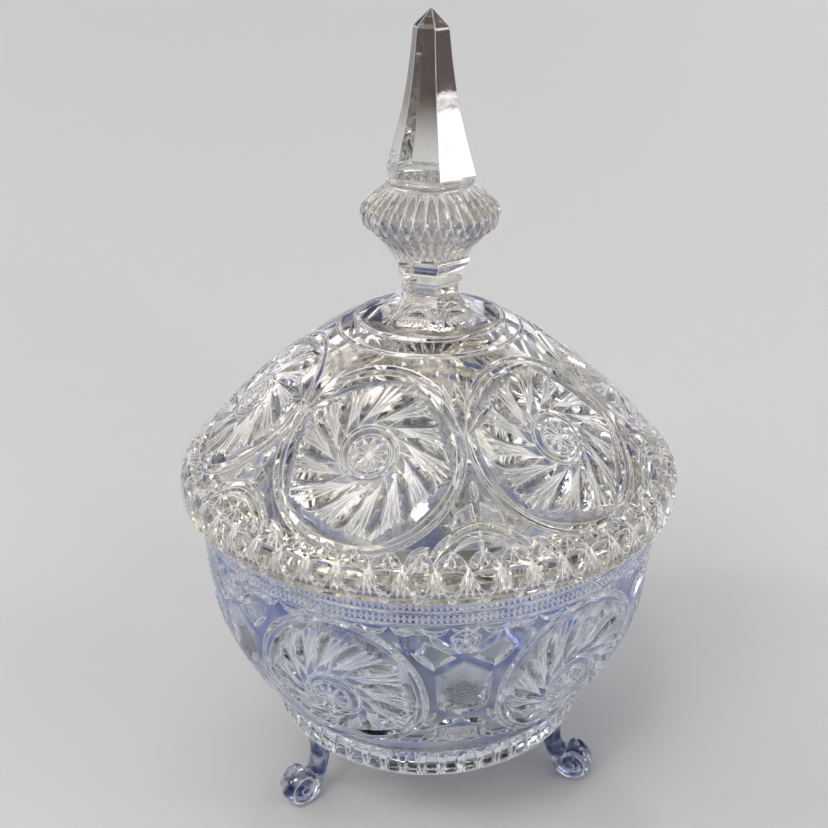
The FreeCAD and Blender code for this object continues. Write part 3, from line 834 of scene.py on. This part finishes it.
def make_bowl(material):
    """The cut bowl with its foot ring, its round inside, and a shallow recess underneath."""
    wall = Wall(BOWL_OUTLINE)
    pattern = Pattern(wall)
    place = wall.patch(0.0, wall.at_height(60.6))
    pinwheel(pattern, place, 25.4, (-1.2, -1.2), 8.0, (-2.0, -2.0), 5.4, first_crescent=0)
    bowl_base(pattern)
    bowl_gap(pattern)
    bowl_bands(pattern)
    solid = Solid()
    foot, rim = solid.cut_wall(wall, pattern)
    # the foot ring is as clear as the plain surfaces
    solid.plain = PLAIN
    for vert in solid.mesh.verts:
        if vert.co.z < RING_TOP * MM:
            vert[solid.cut] = max(vert[solid.cut], PLAIN)
    rim_top = SEAT - 0.2
    inside = outline(
        (64.3, rim_top),
        ((60.9, rim_top), None, 1),
        ((60.5, rim_top - 0.4), None, 1),
        ((58.9, 66.0), None, 10),
        ((32.0, BOWL_FLOOR), -44.0, 26),
        ((4.0, BOWL_FLOOR), None, 5),
    )
    rings = [turned(r + (wobble(z) if z < 96 else 0), z) for r, z in inside]
    solid.rings(rim, rings + [[np.array([0, 0, BOWL_FLOOR])]])
    recess = BASE + 2.0
    under = [(44.6, BASE), (34.0, BASE), (33.0, BASE + 1.0), (31.5, recess), (16.0, recess)]
    solid.rings(foot, [turned(r, z) for r, z in under] + [[np.array([0, 0, recess])]])
    return solid.piece("bowl_crystal", material)


# ---------------- finial, feet
def closed_loft(rows, count, low, high, fused_top=True):
    """A solid through (radii, z) rows, closed by a point at each end.  Its foot is fused to what is below."""
    solid = Solid()
    rings = [turned(radii, z, count) for radii, z in rows]
    first = solid.add_points(rings[0])
    solid.rings(first, rings[1:] + [[np.array([0, 0, high])]], fused_top)
    solid.rings(first, [[np.array([0, 0, low])]], fused=True)
    return solid


def make_stem(material):
    """Six-sided neck with a band and a collar, each edge slightly rounded."""
    count = 72
    low, high = BOSS_TOP - OVERLAP, STEM_TOP + OVERLAP
    steps = [
        (7.7, low), (7.7, BOSS_TOP - 0.02), (8.15, BOSS_TOP), (8.0, 151.0), (8.0, 152.6), (8.1, 152.9),
        (8.9, 153.3), (9.1, 153.6), (9.1, 155.4), (8.95, 155.7), (8.7, 155.8), (8.7, 156.1), (9.1, 156.5),
        (10.2, 157.6), (10.75, 158.3), (10.95, 158.7), (10.95, 159.6), (10.6, STEM_TOP), (10.1, high),
    ]
    rows = [(hexagon(r, count), z) for r, z in steps]
    return closed_loft(rows, count, low, high).piece("finial_stem_crystal", material, LID_TURN)


def knop_flute(around, share, pitch, low, high, z, deep):
    """Depth of one family of hollow flutes with pointed ends."""
    along = (z - low) / (high - low)
    if not 0 < along < 1:
        return np.zeros_like(around)
    half = 0.47 * pitch * math.sin(math.pi * along) ** 0.55
    off = (around + share * pitch + pitch / 2) % pitch - pitch / 2
    return deep * np.clip(1 - (off / half) ** 2, 0, 1) * min(1, 2.2 * math.sin(math.pi * along))


def make_knop(material):
    """Flattened ball whose flutes interlock in a zigzag round the equator."""
    count, flutes = 432, 36
    pitch = math.tau / flutes
    around = np.arange(count) * math.tau / count
    low, high = STEM_TOP - 0.2, KNOP_TOP + 0.2
    profile = [(9.9, low)] + outline(
        (10.3, STEM_TOP),
        ((18.0, 168.3), -24.0, 12),
        ((18.0, 173.0), 4.2, 12),
        ((11.2, 178.7), 38.0, 14),
        ((11.1, 180.5), 1.1, 6),
    )
    profile += [(10.9, KNOP_TOP), (10.4, high)]
    rows, cuts = [], []
    for r, z in profile:
        deep = knop_flute(around, 0.0, pitch, 168.0, 178.6, z, 1.05)
        deep = np.maximum(deep, knop_flute(around, 0.5, pitch, 161.0, 171.6, z, 1.0))
        rows.append((r - deep, z))
        cuts.extend(deep)
    solid = closed_loft(rows, count, low, high)
    for vert, cut in zip(solid.mesh.verts, cuts):
        vert[solid.cut] = cut
    return solid.piece("finial_knop_crystal", material, LID_TURN, sharp=24.0)


def make_spire(material):
    """Tall six-sided spire, whose sides are hollow below and end in a short point."""
    count = 72
    low = KNOP_TOP - OVERLAP
    shoulder = 217.0
    heights = np.linspace(KNOP_TOP + 0.5, shoulder, 26)
    radii = np.interp(
        heights,
        [181.5, 184.5, 188.0, 192.0, 197.0, 203.0, 210.0, shoulder],
        [12.35, 11.45, 10.35, 9.2, 7.95, 6.7, 5.6, 4.8],
    )
    tip_foot, tip_end = (4.5, 217.75), (0.5, 221.55)
    steps = [(11.0, low), (12.3, KNOP_TOP), *zip(radii, heights), (4.72, 217.4), tip_foot]
    steps += line(tip_foot, tip_end, 4) + [(0.15, 221.9)]
    rows = [(hexagon(r, count), z) for r, z in steps]
    solid = closed_loft(rows, count, low, SPIRE_TOP, fused_top=False)
    return solid.piece("finial_spire_crystal", material, LID_TURN)


TOE_OUT, TOE_UP = 48.2, 5.7        # middle of the toe's disc
TOE_RIM = 4.0                      # half its thickness at the rim
TOE_HOLLOW = 4.3                   # radius of the hollow in its sides
TOE_SUNK = 1.9                     # depth of that hollow
TOE_RIDGE = 1.5                    # height of the spiral ridge in it


def scroll_side(out, up):
    """Half the thickness of the toe at a spot of its side: a rim round a hollow with a spiral ridge."""
    radius = np.hypot(out - TOE_OUT, up - TOE_UP)
    angle = np.arctan2(up - TOE_UP, out - TOE_OUT)
    hollow = np.clip(1 - (radius / TOE_HOLLOW) ** 4, 0, 1)
    ridge = (0.5 + 0.5 * np.cos(angle + 1.5 * radius - 1.2)) ** 2
    return TOE_RIM - hollow * (TOE_SUNK - TOE_RIDGE * ridge)


def make_foot(node, bearing, material):
    """A scroll leg that runs down, then curls outwards into a toe like a thick disc set on edge."""
    # the middle line outwards and upwards, with the leg's half width and half thickness there
    leg = np.array([
        (40.2, BASE + 0.3, 4.4, 4.0), (40.2, BASE - 1.0, 4.3, 3.9), (40.3, 18.0, 3.7, 3.2),
        (40.6, 14.5, 3.3, 2.85), (41.0, 11.5, 3.1, 2.75), (42.0, 8.6, 3.2, 2.9), (43.4, 6.7, 3.7, 3.5),
        (45.0, 5.75, 5.4, 4.6), (46.6, 5.6, 6.6, 5.35), (48.2, 5.72, 7.0, 5.6), (49.8, 6.0, 6.6, 5.3),
        (51.3, 6.45, 5.4, 4.4), (52.7, 7.0, 2.9, 2.4),
    ])
    stations = np.linspace(0, len(leg) - 1, 61)
    line_out, line_up, wide, thick = (spline(stations, column) for column in leg.T)
    ahead = np.stack([np.gradient(line_out), np.gradient(line_up)], 1)
    ahead /= np.hypot(*ahead.T)[:, None]
    count = 96
    turn = np.arange(count) * math.tau / count
    facets, facet_depth, facets_end = 8, 0.09, 8
    rings = []
    for i, station in enumerate(stations):
        fade = np.clip(1 - station / facets_end, 0, 1)
        facet = 1 - facet_depth * fade * (1 - np.cos(facets * turn)) / 2
        across = wide[i] * np.sin(turn) * facet
        side = thick[i] * np.cos(turn) * facet
        out = line_out[i] + side * ahead[i, 1]
        up = np.maximum(line_up[i] - side * ahead[i, 0], 0.0)
        half = scroll_side(out, up)
        rings.append(np.stack([np.clip(across, -half, half), -out, up], 1))
    solid = Solid()
    first = solid.add_points(rings[0])
    nose = 0.9
    end = np.array([0, -line_out[-1] - nose * ahead[-1, 0], line_up[-1] + nose * ahead[-1, 1]])
    solid.rings(first, rings[1:] + [[end]], in_order=True)
    solid.rings(first, [[rings[0].mean(0)]], fused=True)
    return solid.piece(node + "_crystal", material, bearing, sharp=30.0)


def spline(at, values):
    """A smooth curve through values that stand one step apart, read at the given places."""
    slopes = np.gradient(values)
    low = np.clip(np.floor(at).astype(int), 0, len(values) - 2)
    t = at - low
    a, b = values[low], values[low + 1]
    return (
        a * (1 + 2 * t) * (1 - t) ** 2 + slopes[low] * t * (1 - t) ** 2
        + b * t * t * (3 - 2 * t) + slopes[low + 1] * t * t * (t - 1)
    )


# ---------------- materials
def feed(tree, node, inputs):
    """Gives each named input of a node a number, a colour or the output of another node."""
    for name, value in inputs.items():
        if isinstance(value, bpy.types.NodeSocket):
            tree.links.new(value, node.inputs[name])
        else:
            node.inputs[name].default_value = value


def add(tree, kind, output, inputs=None, **settings):
    """The named output of a new node."""
    node = tree.nodes.new("ShaderNode" + kind)
    for name, value in settings.items():
        setattr(node, name, value)
    feed(tree, node, inputs or {})
    return node.outputs[output]


def crystal(name, clear, deep, grain, seed, patchy=0.0, fade=None):
    """Polished lead crystal: clear, strongly bending, with a faint unevenness and the odd dull touch.  Its
    tint goes from clear to deep in soft patches, grain of them to the metre, or between the two heights of
    fade.  patchy is the share of deep that is everywhere.  Beyond a light grey that darkens the glass with
    each surface crossed, as absorption does, these tints are painted reflection and painted shade of the
    surroundings seen through the glass.  The bottoms of deep cuts are painted dark, and the edges carry a
    painted white highlight that glows a little."""
    material = bpy.data.materials.new(name)
    material.use_nodes = True
    tree = material.node_tree
    where = add(tree, "TexCoord", "Object")
    shift = (seed, seed * 1.7, seed * 0.6)
    spot = add(tree, "Mapping", "Vector", {"Vector": where, "Location": shift})

    def noise(scale, detail):
        return add(tree, "TexNoise", "Fac", {"Vector": spot, "Scale": scale, "Detail": detail})

    def remap(value, low, high, to_low, to_high):
        ends = {"From Min": low, "From Max": high, "To Min": to_low, "To Max": to_high}
        return add(tree, "MapRange", "Result", {"Value": value, **ends})

    def multiply(first, second):
        return add(tree, "Math", "Value", {0: first, 1: second}, operation="MULTIPLY")

    def mix_colour(share, first, second):
        return add(tree, "Mix", "Result", {"Factor": share, "A": first, "B": second}, data_type="RGBA")

    def mix_shader(share, first, second):
        return add(tree, "MixShader", "Shader", {"Fac": share, 1: first, 2: second})

    # where the painted tint goes: soft noise patches of painted reflection and painted shade, or for the
    # spire a painted shade that darkens it towards the top
    if fade:
        height = add(tree, "SeparateXYZ", "Z", {"Vector": where})
        share = remap(height, fade[0] * MM, fade[1] * MM, 0.0, 1.0)
    else:
        share = remap(noise(grain, 2.0), 0.42, 0.60, patchy, 1.0)
    # the uncut skin shows the painted tint, and the bottoms of deep cuts are painted much darker, towards a
    # near-black grey: painted shade
    depth = add(tree, "Attribute", "Fac", attribute_name="cut")
    painted_cut_shade = (0.07, 0.075, 0.09, 1)
    skin = remap(depth, 0.02, 0.28, 1.0, 0.0)
    tint = mix_colour(multiply(share, skin), (*clear, 1), (*deep, 1))
    tint = mix_colour(remap(depth, 0.35, 1.6, 0.0, 0.75), tint, painted_cut_shade)
    # pressed edges are rounded and a little rough, which turns the glass's normal at each edge
    rounded_edges = add(tree, "Bevel", "Normal", {"Radius": 0.0004}, samples=4)
    bump = {"Strength": 0.12, "Distance": 0.0004, "Normal": rounded_edges, "Height": noise(160.0, 3.0)}
    glass = tree.nodes["Principled BSDF"]
    feed(tree, glass, {
        "IOR": 1.56,
        "Transmission Weight": 1.0,
        "Base Color": tint,
        "Roughness": remap(noise(90.0, 4.0), 0.45, 0.75, 0.0, 0.035),
        "Normal": add(tree, "Bump", "Normal", bump),
    })
    # painted highlight: out of the deep cuts, where the rounded normal leaves the flat one, a white shader
    # that glows a little is laid over the glass, a painted glint on every edge
    flat = add(tree, "NewGeometry", "Normal")
    agree = add(tree, "VectorMath", "Value", {0: rounded_edges, 1: flat}, operation="DOT_PRODUCT")
    edge = multiply(remap(agree, 0.99, 0.92, 0.0, 0.8), remap(depth, 0.2, 0.9, 1.0, 0.0))
    painted_edge_glint = add(tree, "BsdfPrincipled", "BSDF", {
        "Base Color": (0.97, 0.97, 0.96, 1),
        "Metallic": 0.5,
        "Roughness": 0.3,
        "Emission Color": (1, 1, 1, 1),
        "Emission Strength": 0.22,
        "Normal": rounded_edges,
    })
    glass_and_painted_glint = mix_shader(edge, glass.outputs["BSDF"], painted_edge_glint)
    # the hidden faces between pieces that are one glass don't bend light
    fused = add(tree, "Attribute", "Fac", attribute_name="fused")
    whole = mix_shader(fused, glass_and_painted_glint, add(tree, "BsdfTransparent", "BSDF"))
    feed(tree, tree.nodes["Material Output"], {"Surface": whole})
    return material


# ---------------- stage, camera
def make_floor():
    mesh = bpy.data.meshes.new("floor")
    half = 6.0
    corners = [(-half, -half, 0), (half, -half, 0), (half, half, 0), (-half, half, 0)]
    mesh.from_pydata(corners, [], [(0, 1, 2, 3)])
    material = bpy.data.materials.new("pale_floor")
    material.use_nodes = True
    tree = material.node_tree
    matt = {"Base Color": (0.62, 0.63, 0.65, 1), "Roughness": 0.7}
    feed(tree, tree.nodes["Principled BSDF"], matt)
    mesh.materials.append(material)
    floor = bpy.data.objects.new("floor", mesh)
    bpy.context.scene.collection.objects.link(floor)


def make_lamp():
    """One soft box high on the left, for the shadow.  The rest of the light comes from the room."""
    data = bpy.data.lights.new("key", "AREA")
    data.shape = "RECTANGLE"
    data.size = 0.35
    data.size_y = 0.45
    data.energy = 2.2
    data.color = (1.0, 0.95, 0.88)
    lamp = bpy.data.objects.new("key", data)
    lamp.location = (-0.70, -0.75, 1.15)
    middle = Vector((0, 0, 0.11))
    lamp.rotation_euler = (middle - lamp.location).to_track_quat("-Z", "Y").to_euler()
    bpy.context.scene.collection.objects.link(lamp)


WHITE = (1.0, 0.98, 0.95)
ROOM = [
    # sine of the height over the horizon, colour there
    (0.08, (0.09, 0.12, 0.42)),
    (0.18, (0.045, 0.04, 0.034)),
    (0.75, (0.06, 0.05, 0.035)),
]
PANELS = [
    # towards: azimuth from the front, height; half width and soft edge, all in degrees; colour; strength
    (-52, 48, 19, 3, (1.0, 0.95, 0.88), 2.4),
    (48, 44, 13, 3, WHITE, 2.3),
    (140, 34, 15, 3, (0.90, 0.94, 1.0), 2.2),
    (-135, 30, 17, 3, (1.0, 0.97, 0.92), 2.2),
    (0, 84, 13, 4, WHITE, 2.2),
    (12, 22, 7, 2, WHITE, 2.4),
    (95, 10, 9, 2, (0.92, 0.95, 1.0), 2.2),
    (-98, 10, 9, 2, (1.0, 0.97, 0.93), 2.2),
    (155, 5, 8, 2, (0.96, 0.97, 1.0), 2.2),
    (-158, 6, 7, 2, WHITE, 2.2),
    (75, 11, 5, 2, (1.0, 0.99, 0.97), 18.0),
    (-25, 64, 3, 1, WHITE, 26.0),
    (-84, 40, 3, 1, (1.0, 0.97, 0.92), 26.0),
    (178, 46, 3, 1, WHITE, 26.0),
    (25, 12, 3, 1, WHITE, 26.0),
    (180, 24, 34, 14, (0.14, 0.20, 0.75), 0.16),
    (95, 32, 26, 14, (1.0, 0.84, 0.60), 0.10),
    (-85, 34, 26, 14, (1.0, 0.84, 0.60), 0.10),
]


def make_world():
    """A dim room, blue near the ground, with round soft lights far off."""
    world = bpy.data.worlds.new("studio")
    world.use_nodes = True
    bpy.context.scene.world = world
    tree = world.node_tree
    where = add(tree, "TexCoord", "Generated")
    ramp = tree.nodes.new("ShaderNodeValToRGB")
    stops = ramp.color_ramp.elements
    stops.new(0.5)
    for stop, (position, colour) in zip(stops, ROOM):
        stop.position = position
        stop.color = (*colour, 1)
    feed(tree, ramp, {"Fac": add(tree, "SeparateXYZ", "Z", {"Vector": where})})
    total = ramp.outputs["Color"]
    for azimuth, height, half_width, edge, colour, strength in PANELS:
        azimuth, height = math.radians(azimuth), math.radians(height)
        out = math.cos(height)
        middle = (out * math.sin(azimuth), -out * math.cos(azimuth), math.sin(height))
        near = add(tree, "VectorMath", "Value", {0: where, 1: middle}, operation="DOT_PRODUCT")
        ends = {
            "From Min": math.cos(math.radians(half_width + edge)),
            "From Max": math.cos(math.radians(half_width)),
        }
        lit = add(tree, "MapRange", "Result", {"Value": near, **ends}, interpolation_type="SMOOTHSTEP")
        glow = [strength * channel for channel in colour]
        total = add(tree, "VectorMath", "Vector", {0: lit, 1: glow, 2: total}, operation="MULTIPLY_ADD")
    # the camera itself sees a plain pale wall beyond the floor
    seen = add(tree, "LightPath", "Is Camera Ray")
    wall = {"Factor": seen, "A": total, "B": (0.66, 0.67, 0.69, 1)}
    total = add(tree, "Mix", "Result", wall, data_type="RGBA")
    feed(tree, tree.nodes["Background"], {"Strength": 0.88, "Color": total})


def make_camera():
    """The photograph's view: from a little to the left of the front, looking down 25 degrees."""
    data = bpy.data.cameras.new("camera")
    data.sensor_width = 36.0
    data.lens = 52.17
    data.shift_x = -0.0183
    data.clip_start = 0.01
    camera = bpy.data.objects.new("camera", data)
    around, back, height = math.radians(-8.2), 0.307, 0.2541
    down, lean = 24.72, math.radians(0.316)
    camera.location = (back * math.sin(around), -back * math.cos(around), height)
    tilt = Matrix.Rotation(math.radians(90 - down), 3, "X")
    camera.rotation_euler = (rotation_z(around) @ tilt @ rotation_z(lean)).to_euler()
    bpy.context.scene.collection.objects.link(camera)
    bpy.context.scene.camera = camera


def set_light_paths():
    scene = bpy.context.scene
    scene.cycles.max_bounces = 20
    scene.cycles.transmission_bounces = 20
    scene.cycles.glossy_bounces = 8
    scene.cycles.diffuse_bounces = 3
    scene.cycles.caustics_refractive = True
    scene.cycles.caustics_reflective = False
    scene.cycles.sample_clamp_indirect = 6.0
    scene.cycles.use_denoising = True
    scene.view_settings.view_transform = "Standard"
    scene.view_settings.look = "None"


# ---------------- build
def main():
    # bowl: a light grey that darkens with each surface crossed, as absorption does; its cool cast and deep
    # blue patches are painted reflection of blue surroundings
    bowl_glass = crystal(
        "crystal_bowl", clear=(0.86, 0.90, 0.94), deep=(0.10, 0.15, 0.52), grain=90.0, seed=0.0, patchy=0.45
    )
    # lid: its warm cast and brown patches are painted warm light and painted reflection of warm surroundings
    lid_glass = crystal(
        "crystal_lid", clear=(0.95, 0.925, 0.855), deep=(0.62, 0.55, 0.43), grain=60.0, seed=3.1, patchy=0.4
    )
    # finial: the dark grey-brown tint, here given as clear, with paler patches, is painted shade
    finial_glass = crystal(
        "crystal_finial", clear=(0.60, 0.575, 0.52), deep=(0.97, 0.955, 0.90), grain=200.0, seed=7.7,
        patchy=0.3,
    )
    # spire: painted shade, darker from 187 mm up and nearly black-brown above 200 mm
    spire_glass = crystal(
        "crystal_spire", clear=(0.94, 0.94, 0.91), deep=(0.15, 0.12, 0.095), grain=60.0, seed=5.2,
        fade=(187.0, 200.0),
    )
    # feet: the dark navy patches are painted reflection of blue surroundings
    foot_glass = crystal(
        "crystal_feet", clear=(0.84, 0.88, 0.94), deep=(0.03, 0.05, 0.20), grain=200.0, seed=11.3
    )
    jar = {"bowl": make_bowl(bowl_glass)}
    for node, bearing in (("foot_front_left", -60.0), ("foot_front_right", 60.0), ("foot_rear", 180.0)):
        jar[node] = make_foot(node, math.radians(bearing), foot_glass)
    lid = {
        "lid_dome": make_lid(lid_glass),
        "finial_stem": make_stem(finial_glass),
        "finial_knop": make_knop(finial_glass),
        "finial_spire": make_spire(spire_glass),
    }
    for body, pieces in (("jar", jar), ("lid", lid)):
        for node, piece in pieces.items():
            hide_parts(node)
            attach(piece, body)
    make_floor()
    make_lamp()
    make_world()
    make_camera()
    set_light_paths()


main()
